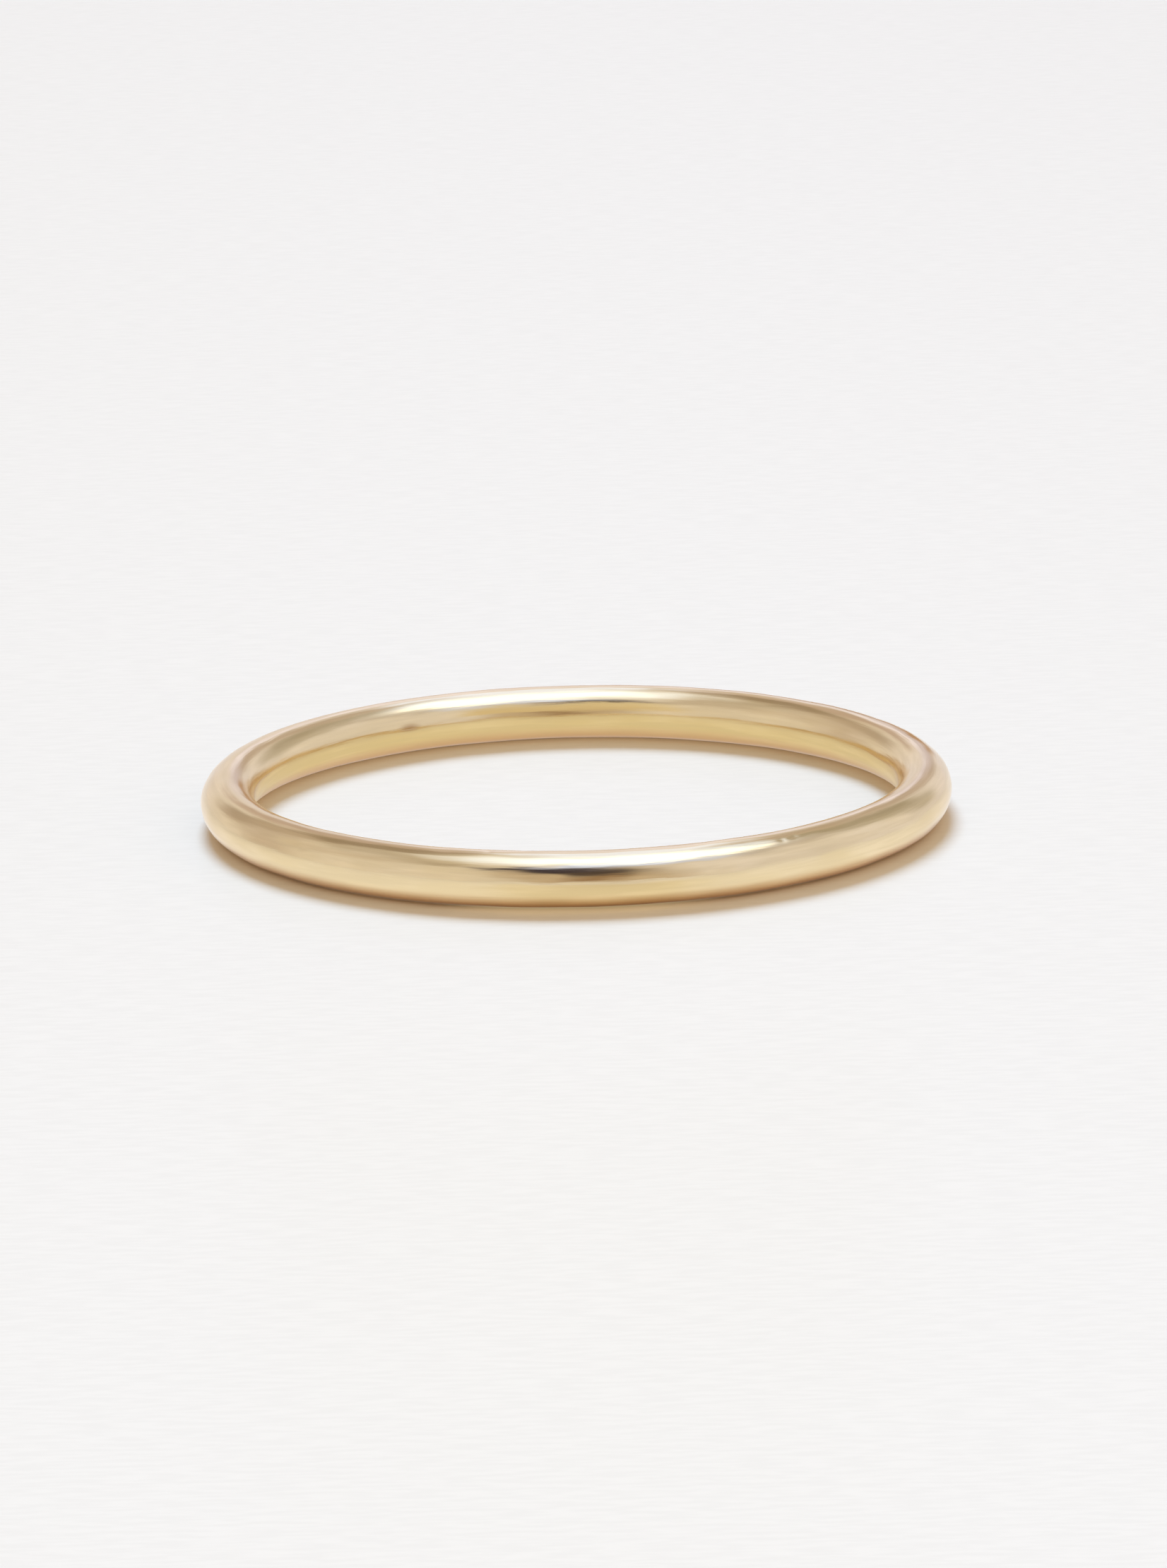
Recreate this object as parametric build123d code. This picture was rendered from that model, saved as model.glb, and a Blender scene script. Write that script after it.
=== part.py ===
from build123d import *
import os

# A plain stackable ring: one closed hoop of round wire, its ends joined so cleanly that no seam
# stands out. It lies on its side, as it does by itself on a table, and touches the table all the
# way round. The origin is on the table at the centre of the hoop, and +Z runs up along the axis of
# the finger hole. Millimetres.

# ---------------------------------------------------------------- driving dimensions
FINGER_DIAMETER = 17.3      # inside of the hoop, which is the ring size
WIRE_DIAMETER = 1.5         # round wire

# ---------------------------------------------------------------- derived dimensions
WIRE_RADIUS = WIRE_DIAMETER / 2
HOOP_RADIUS = FINGER_DIAMETER / 2 + WIRE_RADIUS     # axis of the hoop to the centre of the wire


def ring_band():
    """The wire closed into a hoop that lies flat, with its underside on z = 0."""
    return Pos(0, 0, WIRE_RADIUS) * Torus(HOOP_RADIUS, WIRE_RADIUS)


PARTS = {
    "ring_band": ring_band,
}

os.makedirs("parts", exist_ok=True)
for name, make in PARTS.items():
    export_step(make(), f"parts/{name}.step")
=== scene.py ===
import math

import bpy
from mathutils import Matrix, Vector, noise


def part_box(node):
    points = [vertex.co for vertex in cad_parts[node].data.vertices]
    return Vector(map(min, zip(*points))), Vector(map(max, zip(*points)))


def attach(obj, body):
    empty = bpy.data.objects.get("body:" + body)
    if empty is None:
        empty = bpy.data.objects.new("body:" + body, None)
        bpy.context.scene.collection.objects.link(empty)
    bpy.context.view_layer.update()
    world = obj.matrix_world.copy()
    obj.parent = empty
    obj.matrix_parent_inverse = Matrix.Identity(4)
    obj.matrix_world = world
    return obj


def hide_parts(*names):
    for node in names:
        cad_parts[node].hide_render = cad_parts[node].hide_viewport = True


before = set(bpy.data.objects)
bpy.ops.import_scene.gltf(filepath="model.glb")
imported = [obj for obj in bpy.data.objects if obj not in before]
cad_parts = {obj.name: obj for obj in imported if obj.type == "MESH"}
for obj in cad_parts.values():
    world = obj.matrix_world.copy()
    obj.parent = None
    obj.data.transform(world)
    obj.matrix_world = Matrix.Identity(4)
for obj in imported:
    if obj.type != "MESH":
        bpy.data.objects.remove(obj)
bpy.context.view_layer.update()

# The looks of the plain stackable ring: a closed hoop of polished pale gold wire on a white table.
# Metres, +Z up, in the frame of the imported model. The ring lies round the origin, on z = 0.

MM = 0.001
TURN = 2 * math.pi

# ---------------------------------------------------------------- sizes read from the frame
ring_low, ring_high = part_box("ring_band")
WIRE_RADIUS = (ring_high.z - ring_low.z) / 2
OUTER_RADIUS = min(ring_high.x, -ring_low.x, ring_high.y, -ring_low.y)
HOOP_RADIUS = OUTER_RADIUS - WIRE_RADIUS        # axis of the hoop to the centre of the wire
RING_MIDDLE = Vector((0, 0, (ring_low.z + ring_high.z) / 2))

# ---------------------------------------------------------------- camera
CAMERA_DISTANCE = 220 * MM      # from the origin, on the table under the middle of the ring
CAMERA_ELEVATION = math.radians(14.1)
CAMERA_ROLL = math.radians(-1.27)
CAMERA_LENS = 186.9             # on a sensor 36 mm along its long side
AIM_RIGHT = 0.20 * MM           # the camera looks this far to the right of the origin
AIM_UP = 0.93 * MM              # and this far above it

# ---------------------------------------------------------------- room round the ring
# The room where it is mirrored. It is brushed on in soft strokes, later ones over earlier ones. Each goes
# from one direction to another, as (degrees from straight up, degrees round from the camera's side to the
# right), and has a radius and a width of its soft edge in degrees, and a colour.
ROOM_LEFT = (0.85, 0.80, 0.78)
ROOM_RIGHT = (0.85, 0.82, 0.87)
ROOM_BLEND = 0.6                # left gives way to right from minus this to this, in X of the direction
ROOM_STROKES = (
    ((52, -135), (80, -110), 12, 22, (0.68, 0.60, 0.57)),   # dim walls beside the lamp
    ((46, -85), (56, -105), 10, 16, (0.73, 0.66, 0.62)),
    ((34, -60), (38, -135), 8, 16, (0.57, 0.51, 0.46)),
    ((36, 75), (44, 130), 7, 12, (0.62, 0.58, 0.60)),
    ((46, -148), (66, -144), 10, 12, (0.55, 0.47, 0.42)),   # corners behind, on the left
    ((46, -166), (66, -171), 6, 8, (0.59, 0.49, 0.46)),
    ((38, -150), (43, -158), 8, 9, (0.40, 0.33, 0.27)),
    ((50, 132), (70, 140), 10, 14, (0.60, 0.56, 0.53)),     # and on the right
    ((42, 142), (58, 148), 8, 10, (0.47, 0.43, 0.38)),
    ((44, 158), (74, 170), 6, 8, (0.58, 0.50, 0.46)),
    ((56, 0), (90, 8), 24, 18, (0.61, 0.51, 0.41)),         # the photographer, darker in the middle
    ((68, 10), (82, 3), 7, 12, (0.34, 0.23, 0.15)),
    ((86, 174), (92, 180), 4, 6, (0.50, 0.31, 0.16)),       # a shelf behind
    ((70, 179), (78, 174), 4, 8, (0.76, 0.70, 0.80)),       # and the lamp's glow above it
    ((46, 177), (72, 178), 3.5, 4, (0.98, 0.97, 1.16)),
    ((28, 174), (46, 177), 6, 6, (1.15, 1.32, 1.90)),
    ((31, -15), (36, 50), 6, 8, (0.70, 0.80, 1.25)),        # the lamp: its cool rim
    ((36, 50), (33, 64), 5, 8, (0.74, 0.86, 1.32)),
    ((29, 135), (34, 160), 3, 6, (0.93, 1.08, 1.55)),
    ((7, 118), (7, 118), 23.5, 18, (1.25, 1.45, 1.95)),     # its glow
    ((25, 4), (27, 36), 4, 8, (1.10, 1.35, 2.20)),
    ((11, 95), (11, 95), 19.5, 7, (2.20, 2.25, 2.40)),      # and its bright face
    ((38, -28), (42, -8), 7.5, 12, (0.06, 0.05, 0.07)),     # the camera
    ((44, -4), (50, 6), 12.5, 18, (0.06, 0.05, 0.08)),
    ((52, 4), (58, 6), 8, 12, (0.08, 0.06, 0.06)),
)
CLUTTER = 0.16                  # how much lighter and darker the things in the room make it
CLUTTER_SCALE = 4.0
CLUTTER_DETAIL = 3.0

# What lights the table instead of the strokes: warm walls all round and a cool key light from behind, so
# that the open table is neutral and the ring's shadow is tan.
WALL_LIGHT = (0.62, 0.40, 0.22)
CEILING_LIGHT = (0.62, 0.483, 0.325)
FILL_LEAN = 0.32                # how much more than overhead comes from the side that it leans to
FILL_FROM = 50                  # that side, in degrees round from the camera's side to the right
KEY_FROM = (41, -173)           # degrees from straight up, and degrees round as above
KEY_WIDTH = 26                  # degrees across
KEY_STRENGTH = 3.05
KEY_COLOUR = (0.60, 0.80, 1.0)
BACKDROP = (0.84, 0.84, 0.85)   # the room as the camera sees it

# ---------------------------------------------------------------- table
TABLE_HALF_WIDTH = 3.0
TABLE_IOR = 1.3
TABLE_GLOSS = 0.5               # share of the gloss that goes with that IOR
TABLE_ROUGHNESS = 0.35

# Faint brush strokes in its paint, along X.
TABLE_PAINT = (0.905, 0.91, 0.915)
TABLE_STROKES = (0.878, 0.883, 0.888)
BRUSHING = (1 / (1.0 * MM), 1 / (0.18 * MM), 0)     # one over their length and width
BRUSHING_DETAIL = 2.0
BRUSHING_FADE = (0.3, 0.7)      # of the noise, from the one colour to the other

# The warm light that the polished wire throws on the table before it, painted for the camera alone.
THROWN_LIGHT = (0.27, 0.22, 0.12)
THROWN_MIDDLE = -90             # degrees along the hoop from +X
THROWN_SWEEPS = (24, 4)         # degrees to each side where it ends, and where it is full
THROWN_REACH = 1.2 * MM         # from the line under the middle of the wire

# The ring mirrors the table as a painted glow, evenly lit, but for the shade along the line under the middle
# of the wire.
TABLE_MIRRORED = (0.99, 0.965, 0.95)
TABLE_WARM = (0.90, 0.83, 0.68)         # painted shade, where the photographer's shade falls on it
TABLE_WARM_SPOT = (0.5 * MM, -12.5 * MM, 0)
TABLE_WARM_RADIUS = 2.5 * MM            # fully warm within this, and not beyond twice this
TABLE_INSIDE = (0.86, 0.78, 0.58)       # painted light within the ring, from the gold all round
INSIDE_FADE = 1.00 * MM                 # it is full this far inwards of the line, and gone on it
SHADE_STARTS = 1.00 * MM                # from the line
SHADE_FULL = 0.25 * MM
LIGHT_IN_SHADE = 0.05                   # share of the even light that is left there, outside the ring
LIGHT_INSIDE = 0.50                     # and within it, where the gold lights its own shade

# ---------------------------------------------------------------- card
# Painted reflection: a glowing gold card over the front of the ring, for the inner face at the back to
# mirror.
CARD_HEIGHTS = (7 * MM, 23 * MM)
CARD_FRONT = -90                # degrees along the hoop from +X
CARD_SWEEP = 62                 # degrees to each side
CARD_STEPS = 48
CARD_LOW = (0.78, 0.66, 0.45)
CARD_HIGH = (0.80, 0.72, 0.56)
CARD_EDGE_ON = (0.55, 0.75)     # how edge-on it is where it begins to turn clear, and where it is, of 1

# ---------------------------------------------------------------- mesh of the ring
LENGTHWISE_STEPS = 960
ROUND_STEPS = 100
BAKE_ROWS = 4                   # the skin of the wire is unrolled in this many rows
ROW_STEPS = LENGTHWISE_STEPS // BAKE_ROWS
ROW_GAP = 0.02                  # share of a row left free at each of its edges

# ---------------------------------------------------------------- hand finish of the wire
# Low facets that filing and polishing left on the round section: depth, and typical length and width.
FACETS = (
    (0.020 * MM, 3.0 * MM, 1.3 * MM),
    (0.010 * MM, 2.0 * MM, 0.5 * MM),
)

# Where the wire was soldered closed, in degrees along the hoop from +X and round the wire from outward. It
# has a small brown stain, this long, wide and deep from its middle.
JOINT_ALONG = 122
JOINT_AROUND = 170
STAIN_SIZE = (0.45 * MM, 0.16 * MM, 0.16 * MM)
STAIN_CORE = 0.1                # share of that size within which it is full
STAIN_STRENGTH = 0.8

# Small pits: degrees along the hoop from +X, degrees round the wire from outward, length, width, depth.
PITS = (
    (JOINT_ALONG, JOINT_AROUND, 0.40 * MM, 0.16 * MM, 0.010 * MM),
    (-57.1, 56, 0.10 * MM, 0.07 * MM, 0.008 * MM),      # nicks from wear
    (-54.8, 61, 0.12 * MM, 0.07 * MM, 0.008 * MM),
    (-104, 84, 0.09 * MM, 0.06 * MM, 0.007 * MM),
    (-136, 30, 0.16 * MM, 0.06 * MM, 0.006 * MM),
    (-150, 106, 0.13 * MM, 0.07 * MM, 0.010 * MM),
)

# ---------------------------------------------------------------- gold
GOLD = (0.83, 0.68, 0.41)
PALE_GOLD = (0.89, 0.745, 0.485)
DULL_GOLD = (0.80, 0.66, 0.41)
# painted shade: the underside's gold, warmer and darker
UNDERSIDE_SHADE_GOLD = (0.82, 0.56, 0.30)
STAIN = (0.50, 0.33, 0.17)
EDGE_TINT = (1.0, 0.97, 0.96)

# Fine lines along the wire, duller and rougher than the rest and in low relief. Their fades are ranges of
# the noise, from none to full.
LINE_LENGTH = 2.6 * MM
LINE_WIDTH = 0.17 * MM
LINE_DETAIL = 3.0
LINE_FADE = (0.35, 0.60)
LINE_DULLING = 0.8              # share of the dull colour in them
LINE_ROUGH_FADE = (0.30, 0.75)
LINE_ROUGHNESS = 0.05           # how much rougher they are
LINE_RELIEF = 0.010 * MM

# Faint cloudy patches, paler and rougher. Their fades are ranges of the noise too.
CLOUD_LENGTH = 2.2 * MM
CLOUD_WIDTH = 0.7 * MM
CLOUD_DETAIL = 2.0
CLOUD_FADE = (0.35, 0.65)
CLOUD_ROUGH_FADE = (0.35, 0.70)
CLOUD_ROUGHNESS = (0.07, 0.13)  # clear of them, and within them

# The underside is warmer and darker with painted shade, and gives way to the rest between two heights. The
# inner face is rougher, and gives way to the rest between two distances from the axis of the hoop.
UNDERSIDE_SHADE_FADE = (0.10 * WIRE_RADIUS, 0.75 * WIRE_RADIUS)
INNER_FADE = (HOOP_RADIUS - 0.8 * WIRE_RADIUS, HOOP_RADIUS - 0.2 * WIRE_RADIUS)
INNER_ROUGHNESS = 0.08          # how much rougher it is


# ================================================================ small helpers

def link(obj):
    bpy.context.scene.collection.objects.link(obj)
    return obj


def round_point(radius, along, height):
    """The point at this radius from the axis of the hoop, along in radians from +X, and this height."""
    return radius * math.cos(along), radius * math.sin(along), height


def sky_direction(zenith, azimuth):
    """Unit vector, zenith degrees from straight up and azimuth degrees round from the camera's side."""
    z = math.radians(zenith)
    a = math.radians(azimuth)
    return math.sin(z) * math.sin(a), -math.sin(z) * math.cos(a), math.cos(z)


class Nodes:
    """A short way to write a node tree. The methods below add give the output of the node they add."""

    def __init__(self, tree):
        self.tree = tree
        self.tree.nodes.clear()

    def put(self, socket, value):
        """Links value to the socket, or sets it. A colour is given as three numbers."""
        if isinstance(value, bpy.types.NodeSocket):
            self.tree.links.new(value, socket)
        elif socket.type == "RGBA":
            socket.default_value = (*value, 1)
        else:
            socket.default_value = value

    def add(self, kind, inputs=None, **settings):
        """Adds a node and gives the whole of it. Inputs are by name or number, settings by name."""
        node = self.tree.nodes.new(kind)
        for name, value in settings.items():
            setattr(node, name, value)
        for socket, value in (inputs or {}).items():
            self.put(node.inputs[socket], value)
        return node

    def math(self, operation, *values):
        return self.add("ShaderNodeMath", dict(enumerate(values)), operation=operation).outputs[0]

    def vector(self, operation, *values):
        """A vector from SUBTRACT, MULTIPLY and SCALE; a number from DOT_PRODUCT, LENGTH and DISTANCE."""
        node = self.add("ShaderNodeVectorMath", operation=operation)
        sockets = [socket for socket in node.inputs if socket.enabled]
        for socket, value in zip(sockets, values):
            self.put(socket, value)
        return next(socket for socket in node.outputs if socket.enabled)

    def ramp(self, value, low, high, to_low=0.0, to_high=1.0):
        """value eased from to_low at low to to_high at high, and held past both."""
        inputs = {"Value": value, "From Min": low, "From Max": high, "To Min": to_low, "To Max": to_high}
        return self.add("ShaderNodeMapRange", inputs, interpolation_type="SMOOTHSTEP").outputs[0]

    def mix(self, factor, a, b):
        """Colour a where factor is 0, and b where it is 1."""
        return self.add("ShaderNodeMix", {0: factor, 6: a, 7: b}, data_type="RGBA").outputs[2]

    def place(self):
        """Object coordinates, which are those of the frame."""
        return self.add("ShaderNodeTexCoord").outputs["Object"]

    def ray(self, kind):
        """1 for rays of this kind, and 0 for all others."""
        return self.add("ShaderNodeLightPath").outputs[kind]


def new_material(name):
    material = bpy.data.materials.new(name)
    material.use_nodes = True
    return material, Nodes(material.node_tree)


def mesh_object(name, points, faces, material):
    mesh = bpy.data.meshes.new(name)
    mesh.from_pydata(points, [], faces)
    mesh.materials.append(material)
    return link(bpy.data.objects.new(name, mesh))


# ================================================================ gold

def split_place(n, place):
    """The three object coordinates, and the distance from the axis of the hoop."""
    x, y, z = n.add("ShaderNodeSeparateXYZ", {0: place}).outputs
    reach = n.math("SQRT", n.math("ADD", n.math("MULTIPLY", x, x), n.math("MULTIPLY", y, y)))
    return x, y, z, reach


def wire_noise(n, place, length, width, detail):
    """4-D noise, so without a seam, whose features are about length long and width across the wire."""
    x, y, z, reach = split_place(n, place)
    turn = n.math("DIVIDE", HOOP_RADIUS / length, reach)
    parts = {
        "X": n.math("MULTIPLY", x, turn),
        "Y": n.math("MULTIPLY", y, turn),
        "Z": n.math("DIVIDE", n.math("SUBTRACT", reach, HOOP_RADIUS), width),
    }
    vector = n.add("ShaderNodeCombineXYZ", parts).outputs[0]
    inputs = {"Vector": vector, "W": n.math("DIVIDE", z, width), "Scale": 1.0, "Detail": detail}
    return n.add("ShaderNodeTexNoise", inputs, noise_dimensions="4D").outputs["Fac"]


def joint_stain(n, place):
    """How much of the stain over the soldered joint lies here."""
    around = math.radians(JOINT_AROUND)
    along = math.radians(JOINT_ALONG)
    reach = HOOP_RADIUS + WIRE_RADIUS * math.cos(around)
    middle = round_point(reach, along, RING_MIDDLE.z + WIRE_RADIUS * math.sin(around))
    inputs = {"Vector": place, "Location": middle, "Rotation": (0, 0, along + TURN / 4), "Scale": STAIN_SIZE}
    local = n.add("ShaderNodeMapping", inputs, vector_type="TEXTURE").outputs[0]
    return n.ramp(n.vector("LENGTH", local), STAIN_CORE, 1.0, STAIN_STRENGTH, 0.0)


def gold_material():
    """Polished pale gold: fine lines along the wire, faint cloudy patches, painted shade on the underside.
    """
    material, n = new_material("polished_pale_gold")
    place = n.place()
    height, reach = split_place(n, place)[2:]
    lines = wire_noise(n, place, LINE_LENGTH, LINE_WIDTH, LINE_DETAIL)
    clouds = wire_noise(n, place, CLOUD_LENGTH, CLOUD_WIDTH, CLOUD_DETAIL)
    colour = n.mix(n.ramp(clouds, *CLOUD_FADE), GOLD, PALE_GOLD)
    colour = n.mix(n.ramp(lines, *LINE_FADE, 0.0, LINE_DULLING), colour, DULL_GOLD)
    # painted shade: warmer, darker gold towards the underside
    colour = n.mix(n.ramp(height, *UNDERSIDE_SHADE_FADE, 1.0, 0.0), colour, UNDERSIDE_SHADE_GOLD)
    colour = n.mix(joint_stain(n, place), colour, STAIN)
    roughness = n.ramp(clouds, *CLOUD_ROUGH_FADE, *CLOUD_ROUGHNESS)
    roughness = n.math("ADD", roughness, n.ramp(lines, *LINE_ROUGH_FADE, 0.0, LINE_ROUGHNESS))
    roughness = n.math("ADD", roughness, n.ramp(reach, *INNER_FADE, INNER_ROUGHNESS, 0.0))
    bump = n.add("ShaderNodeBump", {"Height": lines, "Strength": 1.0, "Distance": LINE_RELIEF}).outputs[0]
    look = {
        "Base Color": colour,
        "Metallic": 1.0,
        "Roughness": roughness,
        "Specular Tint": EDGE_TINT,
        "Normal": bump,
    }
    shader = n.add("ShaderNodeBsdfPrincipled", look)
    n.add("ShaderNodeOutputMaterial", {"Surface": shader.outputs[0]})
    return material


# ================================================================ the ring

def hand_finish(along, around):
    """How far filing and polishing took the surface in, without a seam."""
    taken = 0
    for depth, length, width in FACETS:
        wire = 2 * WIRE_RADIUS / width
        hoop = 2 * HOOP_RADIUS / length
        place = Vector(round_point(hoop + wire * math.cos(around), along, wire * math.sin(around)))
        taken += depth * (0.5 + 0.5 * noise.noise(place))
    return taken


def pitted(along, around):
    """How deep the pits are here."""
    depth = 0
    for pit_along, pit_around, length, width, deepest in PITS:
        down_wire = math.remainder(along - math.radians(pit_along), TURN) * HOOP_RADIUS / length
        round_wire = math.remainder(around - math.radians(pit_around), TURN) * WIRE_RADIUS / width
        depth += deepest * math.exp(-down_wire ** 2 - round_wire ** 2)
    return depth


def wire_point(i, j):
    """The point on the ring at step i along the hoop from +X, and step j round the wire from outward."""
    along = TURN * i / LENGTHWISE_STEPS
    around = TURN * j / ROUND_STEPS
    radius = WIRE_RADIUS - hand_finish(along, around) - pitted(along, around)
    height = RING_MIDDLE.z + radius * math.sin(around)
    return round_point(HOOP_RADIUS + radius * math.cos(around), along, height)


def bake_place(row, i, j):
    """Where step i along and step j round lie in this row of the unrolled skin of the wire."""
    u = ROW_GAP + (1 - 2 * ROW_GAP) * (i - row * ROW_STEPS) / ROW_STEPS
    v = (row + ROW_GAP + (1 - 2 * ROW_GAP) * j / ROUND_STEPS) / BAKE_ROWS
    return u, v


def make_ring():
    points = []
    faces = []
    places = []
    for i in range(LENGTHWISE_STEPS):
        for j in range(ROUND_STEPS):
            points.append(wire_point(i, j))
            corners = ((i, j), (i + 1, j), (i + 1, j + 1), (i, j + 1))
            faces.append([(a % LENGTHWISE_STEPS) * ROUND_STEPS + b % ROUND_STEPS for a, b in corners])
            for a, b in corners:
                places.extend(bake_place(i // ROW_STEPS, a, b))
    ring = mesh_object("polished_ring", points, faces, gold_material())
    ring.data.polygons.foreach_set("use_smooth", [True] * len(faces))
    ring.data.uv_layers.new(name="OFBake").data.foreach_set("uv", places)
    ring.data.update()
    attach(ring, "root")
    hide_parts("ring_band")


# ================================================================ table

def table_paint(n, place, reach, away):
    """White paint with faint brush strokes, and the light that the wire throws on it."""
    brushed = n.vector("MULTIPLY", place, BRUSHING)
    strokes = n.add("ShaderNodeTexNoise", {"Vector": brushed, "Scale": 1.0, "Detail": BRUSHING_DETAIL},
                    noise_dimensions="2D").outputs["Fac"]
    colour = n.mix(n.ramp(strokes, *BRUSHING_FADE), TABLE_PAINT, TABLE_STROKES)
    paint = n.add("ShaderNodeBsdfDiffuse", {"Color": colour}).outputs[0]
    share = n.math("MULTIPLY", thrown_share(n, place, reach, away), n.ray("Is Camera Ray"))
    thrown = n.add("ShaderNodeEmission", {"Color": THROWN_LIGHT, "Strength": share}).outputs[0]
    return n.add("ShaderNodeAddShader", {0: paint, 1: thrown}).outputs[0]


def thrown_share(n, place, reach, away):
    """How much of the light that the polished wire throws down lands here."""
    middle = round_point(1.0, math.radians(THROWN_MIDDLE), 0)
    facing = n.math("DIVIDE", n.vector("DOT_PRODUCT", place, middle), reach)
    ends, full = (math.cos(math.radians(sweep)) for sweep in THROWN_SWEEPS)
    return n.math("MULTIPLY", n.ramp(facing, ends, full), n.ramp(away, 0.0, THROWN_REACH, 1.0, 0.0))


def mirrored_glow(n, place, reach):
    """The painted glow of the table that the ring mirrors: even, with warm shade before it, golden within
    it.
    """
    from_spot = n.vector("DISTANCE", place, TABLE_WARM_SPOT)
    warmth = n.ramp(from_spot, TABLE_WARM_RADIUS, 2 * TABLE_WARM_RADIUS, 1.0, 0.0)
    glow = n.mix(warmth, TABLE_MIRRORED, TABLE_WARM)
    inside = n.ramp(reach, HOOP_RADIUS - INSIDE_FADE, HOOP_RADIUS, 1.0, 0.0)
    return n.add("ShaderNodeEmission", {"Color": n.mix(inside, glow, TABLE_INSIDE)}).outputs[0]


def floor_material():
    """Smooth white painted table top; the ring mirrors it as a painted, evenly lit glow except under itself.
    """
    material, n = new_material("white_table")
    place = n.place()
    reach = split_place(n, place)[3]
    away = n.math("ABSOLUTE", n.math("SUBTRACT", reach, HOOP_RADIUS))
    paint = table_paint(n, place, reach, away)
    glow = mirrored_glow(n, place, reach)
    darkest = n.ramp(reach, HOOP_RADIUS - SHADE_FULL, HOOP_RADIUS + SHADE_FULL,
                     LIGHT_INSIDE, LIGHT_IN_SHADE)
    lit = n.ramp(away, SHADE_FULL, SHADE_STARTS, darkest, 1.0)
    mirrored = n.math("MULTIPLY", n.ray("Is Glossy Ray"), lit)
    base = n.add("ShaderNodeMixShader", {0: mirrored, 1: paint, 2: glow}).outputs[0]
    sheen = n.add("ShaderNodeBsdfGlossy", {"Roughness": TABLE_ROUGHNESS}).outputs[0]
    fresnel = n.add("ShaderNodeFresnel", {"IOR": TABLE_IOR}).outputs[0]
    gloss = n.math("MULTIPLY", fresnel, TABLE_GLOSS)
    shader = n.add("ShaderNodeMixShader", {0: gloss, 1: base, 2: sheen})
    n.add("ShaderNodeOutputMaterial", {"Surface": shader.outputs[0]})
    return material


def make_floor():
    half = TABLE_HALF_WIDTH
    corners = [(-half, -half, 0), (half, -half, 0), (half, half, 0), (-half, half, 0)]
    floor = mesh_object("table_top", corners, [(0, 1, 2, 3)], floor_material())


# ================================================================ card

def card_material():
    """Glowing gold for a painted reflection, which turns clear where it is seen edge-on."""
    material, n = new_material("gold_card")
    height = n.add("ShaderNodeSeparateXYZ", {0: n.place()}).outputs["Z"]
    colour = n.mix(n.ramp(height, *CARD_HEIGHTS), CARD_LOW, CARD_HIGH)
    gold = n.add("ShaderNodeEmission", {"Color": colour}).outputs[0]
    clear = n.add("ShaderNodeBsdfTransparent").outputs[0]
    facing = n.add("ShaderNodeLayerWeight", {"Blend": 0.5}).outputs["Facing"]
    shader = n.add("ShaderNodeMixShader", {0: n.ramp(facing, *CARD_EDGE_ON), 1: gold, 2: clear})
    n.add("ShaderNodeOutputMaterial", {"Surface": shader.outputs[0]})
    return material


def make_card():
    """A curved card over the ring's front, a painted gold reflection that shows only in what is mirrored."""
    points = []
    for k in range(CARD_STEPS + 1):
        along = math.radians(CARD_FRONT - CARD_SWEEP + 2 * CARD_SWEEP * k / CARD_STEPS)
        points += [round_point(HOOP_RADIUS, along, height) for height in CARD_HEIGHTS]
    faces = [(2 * k, 2 * k + 2, 2 * k + 3, 2 * k + 1) for k in range(CARD_STEPS)]
    card = mesh_object("gold_card", points, faces, card_material())
    card.visible_camera = False
    card.visible_diffuse = False
    card.visible_shadow = False


# ================================================================ room and lights

def soft_stroke(n, direction, start, end, radius, edge):
    """1 within a stroke across the room from start to end, easing to 0 at its edge."""
    first = Vector(sky_direction(*start))
    run = Vector(sky_direction(*end)) - first
    offset = n.vector("SUBTRACT", direction, first)
    if run.length > 0:
        along = n.vector("DOT_PRODUCT", offset, run / run.length_squared)
        held = n.math("MINIMUM", n.math("MAXIMUM", along, 0.0), 1.0)
        offset = n.vector("SUBTRACT", offset, n.vector("SCALE", run, held))
    distance = n.vector("LENGTH", offset)
    return n.ramp(distance, math.radians(radius - edge / 2), math.radians(radius + edge / 2), 1.0, 0.0)


def painted_room(n, direction, across):
    """What is mirrored: pale walls, brushed over with the strokes and mottled by what stands in the room."""
    colour = n.mix(n.ramp(across, -ROOM_BLEND, ROOM_BLEND), ROOM_LEFT, ROOM_RIGHT)
    for start, end, radius, edge, paint in ROOM_STROKES:
        colour = n.mix(soft_stroke(n, direction, start, end, radius, edge), colour, paint)
    inputs = {"Vector": direction, "Scale": CLUTTER_SCALE, "Detail": CLUTTER_DETAIL}
    things = n.add("ShaderNodeTexNoise", inputs).outputs["Fac"]
    return n.vector("SCALE", colour, n.math("MULTIPLY_ADD", things, 2 * CLUTTER, 1 - CLUTTER))


def plain_fill(n, direction, height):
    """What lights the table and the rest: warm all round, and leaning to one side."""
    fill = n.mix(height, WALL_LIGHT, CEILING_LIGHT)
    lean = n.vector("DOT_PRODUCT", direction, sky_direction(90, FILL_FROM))
    return n.vector("SCALE", fill, n.math("MULTIPLY_ADD", lean, FILL_LEAN, 1.0))


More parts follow.
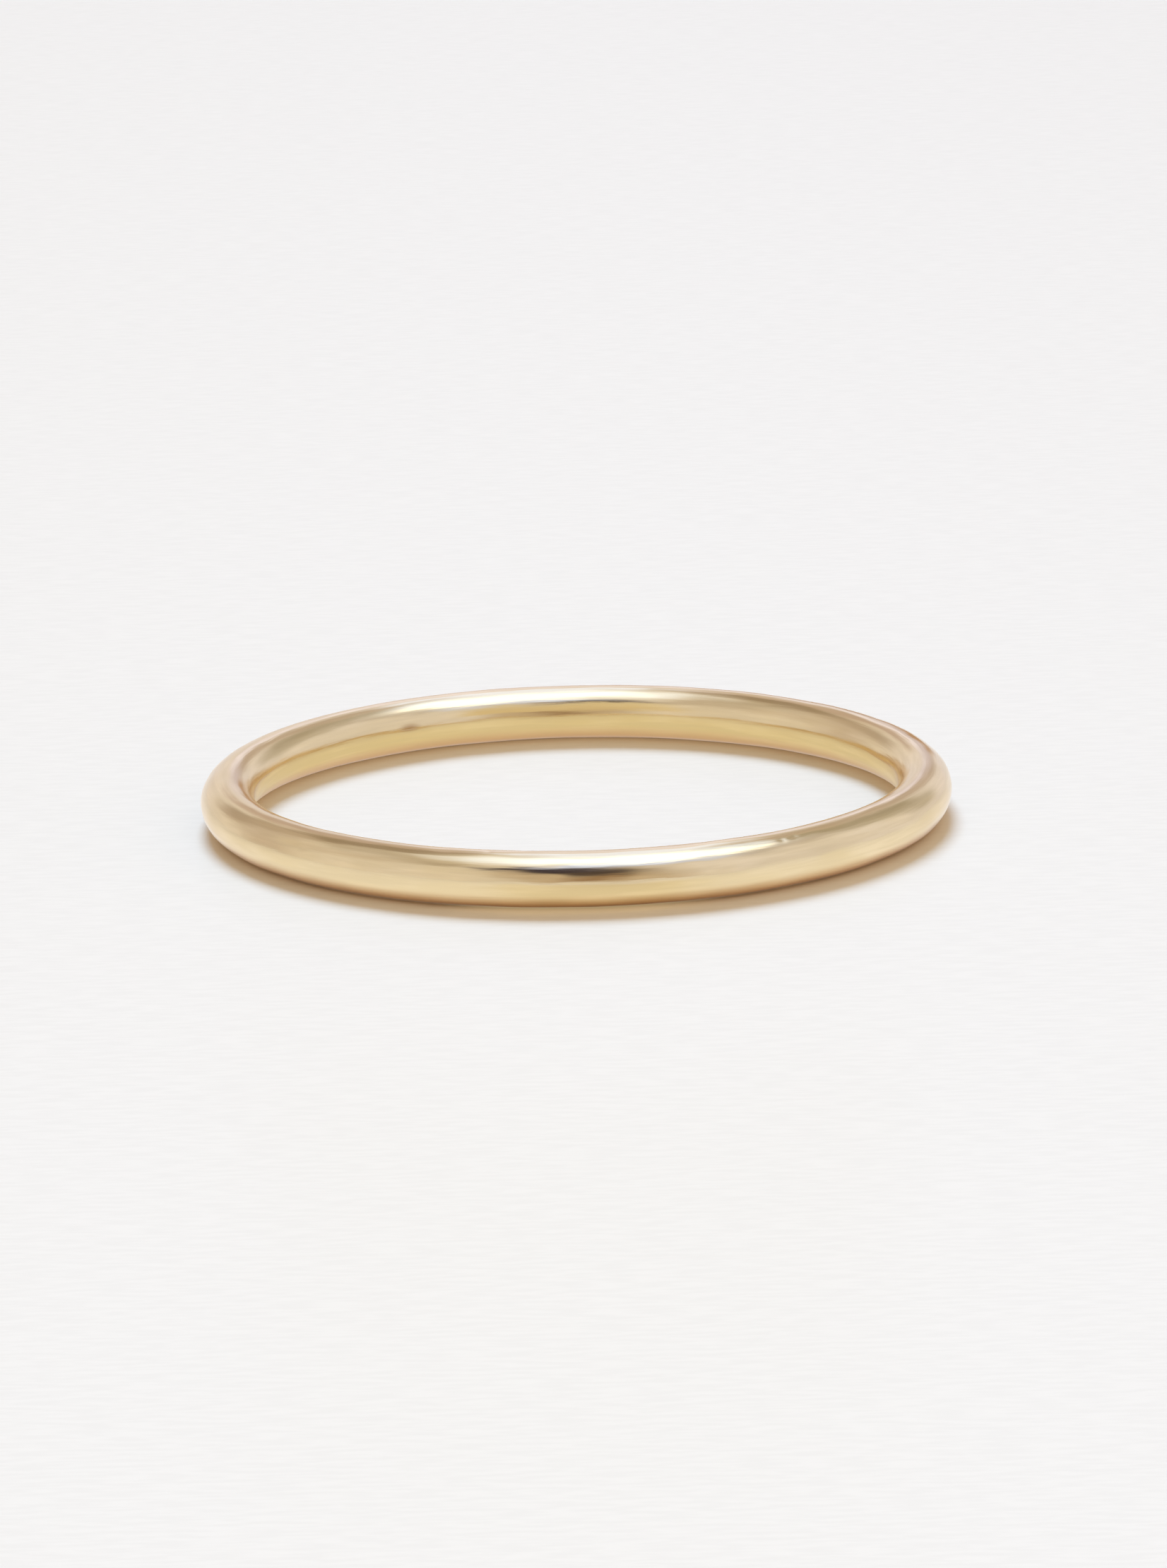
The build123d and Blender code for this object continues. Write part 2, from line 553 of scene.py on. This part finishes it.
def make_world():
    """The painted room where it is mirrored, the plain fill where it lights, a backdrop for the camera."""
    world = bpy.data.worlds.new("pale_room")
    bpy.context.scene.world = world
    world.use_nodes = True
    n = Nodes(world.node_tree)
    direction = n.add("ShaderNodeTexCoord").outputs["Generated"]
    parts = n.add("ShaderNodeSeparateXYZ", {0: direction}).outputs
    room = painted_room(n, direction, parts["X"])
    fill = plain_fill(n, direction, parts["Z"])
    mirrored = n.math("MAXIMUM", n.ray("Is Glossy Ray"), n.ray("Is Transmission Ray"))
    colour = n.mix(mirrored, fill, room)
    colour = n.mix(n.ray("Is Camera Ray"), colour, BACKDROP)
    shader = n.add("ShaderNodeBackground", {"Color": colour, "Strength": 1.0})
    n.add("ShaderNodeOutputWorld", {"Surface": shader.outputs[0]})


def make_key_light():
    """A soft cool light from behind that throws the ring's shadow forward, and is not mirrored."""
    data = bpy.data.lights.new("window_behind", "SUN")
    data.energy = KEY_STRENGTH
    data.angle = math.radians(KEY_WIDTH)
    data.color = KEY_COLOUR
    light = link(bpy.data.objects.new("window_behind", data))
    light.rotation_euler = Vector(sky_direction(*KEY_FROM)).to_track_quat("Z", "Y").to_euler()
    light.visible_glossy = False


def make_camera():
    data = bpy.data.cameras.new("camera")
    data.lens = CAMERA_LENS
    camera = link(bpy.data.objects.new("camera", data))
    back = Vector((0, -math.cos(CAMERA_ELEVATION), math.sin(CAMERA_ELEVATION)))
    place = CAMERA_DISTANCE * back
    right = Vector((1, 0, 0))
    up = back.cross(right)
    ahead = (AIM_RIGHT * right + AIM_UP * up - place).normalized()
    level = ahead.cross(Vector((0, 0, 1))).normalized()
    rolled = Matrix.Rotation(-CAMERA_ROLL, 3, ahead) @ level
    axes = Matrix((rolled, rolled.cross(ahead), -ahead)).transposed().to_4x4()
    camera.matrix_world = Matrix.Translation(place) @ axes
    bpy.context.scene.camera = camera


# ================================================================ the scene

make_camera()
make_ring()
make_floor()
make_card()
make_world()
make_key_light()
bpy.context.scene.view_settings.view_transform = "Standard"
